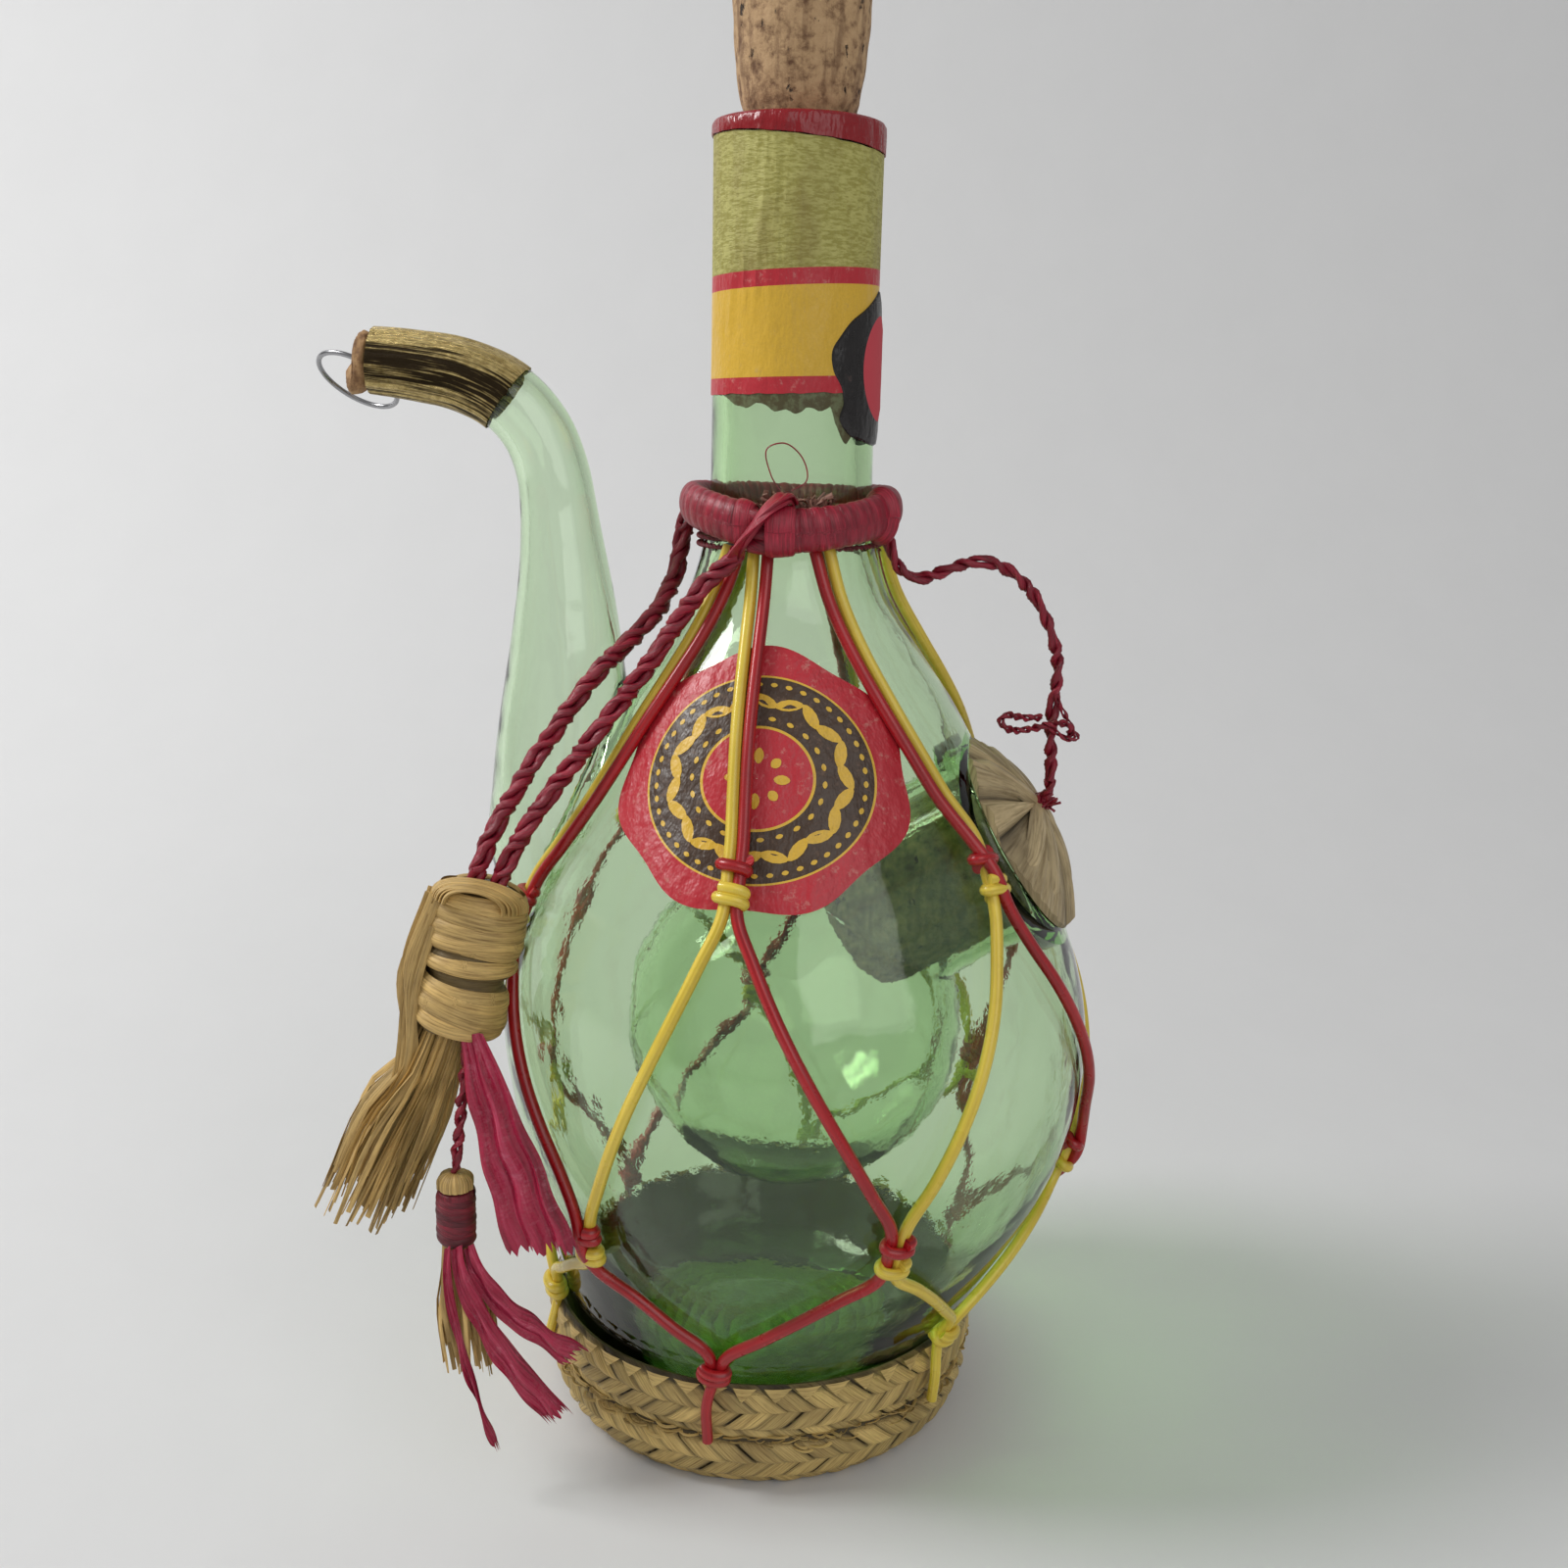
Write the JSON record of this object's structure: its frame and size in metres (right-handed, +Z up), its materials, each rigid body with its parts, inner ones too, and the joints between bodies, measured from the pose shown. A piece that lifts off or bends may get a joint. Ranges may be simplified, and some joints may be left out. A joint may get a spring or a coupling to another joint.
{
  "type": "wine decanter bottle",
  "caption": "Round-bellied green glass wine bottle with a side pouring spout, an inner ice pocket, corks, a plastic cord net, straw tassels and a low straw base.",
  "frame": {"origin": "centre of the straw base's underside, on the table", "axes": "+Z up along the neck, +Y to the bottle's back, +X to the side of the ice pocket's mouth"},
  "size_m": [0.1496, 0.1182, 0.2663],
  "materials": {
    "glass": "smooth tinted bottle glass",
    "cork": "bare natural cork",
    "plug_core": "plain cork",
    "leaf_cover": "dried folded leaves",
    "red_raffia": "dyed raffia, slightly glossy",
    "red_band": "glossy paper band",
    "label_linen": "printed linen-textured paper",
    "seal_paper": "glossy embossed paper",
    "label_paper": "printed paper",
    "binding_cord": "thin twisted cord",
    "straw": "dry straw",
    "gold_foil": "gold lacquered crumpled foil",
    "steel_wire": "bright steel wire",
    "red_cord": "twisted dyed cord",
    "ribbon": "crinkled translucent ribbon",
    "net_red": "glossy twisted plastic cord",
    "net_yellow": "glossy twisted plastic cord"
  },
  "bodies": {
    "bottle": {"glass_belly": "glass", "glass_pocket": "glass", "glass_neck": "glass", "glass_spout": "glass", "glass_spout_tip": "glass", "rim_band": "red_band", "neck_label": "label_linen", "neck_seal": "seal_paper", "front_label": "label_paper", "collar_hoop": "red_raffia", "collar_binding": "binding_cord", "base_band_upper": "straw", "base_band_lower": "straw", "base_sole": "straw", "spout_foil": "gold_foil", "tether_cord": "red_cord", "tether_bow": "red_cord", "tassel_cord_front": "red_cord", "tassel_cord_rear": "red_cord", "net_cord_red_1": "net_red", "net_cord_red_2": "net_red", "net_cord_red_3": "net_red", "net_cord_red_4": "net_red", "net_cord_red_5": "net_red", "net_cord_red_6": "net_red", "net_cord_yellow_1": "net_yellow", "net_cord_yellow_2": "net_yellow", "net_cord_yellow_3": "net_yellow", "net_cord_yellow_4": "net_yellow", "net_cord_yellow_5": "net_yellow", "net_cord_yellow_6": "net_yellow"},
    "neck_cork": {"neck_cork": "cork"},
    "spout_cork": {"spout_cork": "cork"},
    "pull_ring": {"pull_ring": "steel_wire"},
    "ice_plug": {"ice_plug": "plug_core", "ice_plug_cover": "leaf_cover", "ice_plug_tie": "red_raffia"},
    "tassel": {"tassel_head": "straw", "tassel_straw": "straw", "tassel_ribbon": "ribbon"},
    "small_tassel": {"small_tassel_cord": "red_cord", "small_tassel_top": "straw", "small_tassel_binding": "red_raffia", "small_tassel_straw": "straw", "small_tassel_streamer_1": "ribbon", "small_tassel_streamer_2": "ribbon", "small_tassel_streamer_3": "ribbon"}
  },
  "joints": [
    {"name": "neck_cork_pull", "type": "slide", "parent": "bottle", "child": "neck_cork", "axis": [0, 0, 1], "range_m": [0, 0.045]},
    {"name": "spout_cork_pull", "type": "slide", "parent": "bottle", "child": "spout_cork", "axis": [-0.9976, 0, 0.0698], "range_m": [0, 0.016]},
    {"name": "pull_ring_turn", "type": "hinge", "parent": "spout_cork", "child": "pull_ring", "pos_m": [-0.0726, 0, 0.1997], "axis": [-0.9976, 0, 0.0698], "range_deg": [-60, 60]},
    {"name": "ice_plug_pull", "type": "slide", "parent": "bottle", "child": "ice_plug", "axis": [0.8295, -0.1763, 0.5299], "range_m": [0, 0.04], "deforming": ["tether_cord", "tether_bow"]},
    {"name": "tassel_swing", "type": "hinge", "parent": "bottle", "child": "tassel", "pos_m": [-0.0495, -0.0285, 0.112], "axis": [-0.5, 0.866, 0], "range_deg": [0, 25], "deforming": ["tassel_cord_front", "tassel_cord_rear"]},
    {"name": "small_tassel_swing", "type": "hinge", "parent": "tassel", "child": "small_tassel", "pos_m": [-0.0514, -0.0345, 0.0847], "axis": [-0.5, 0.866, 0], "range_deg": [0, 15]}
  ]
}
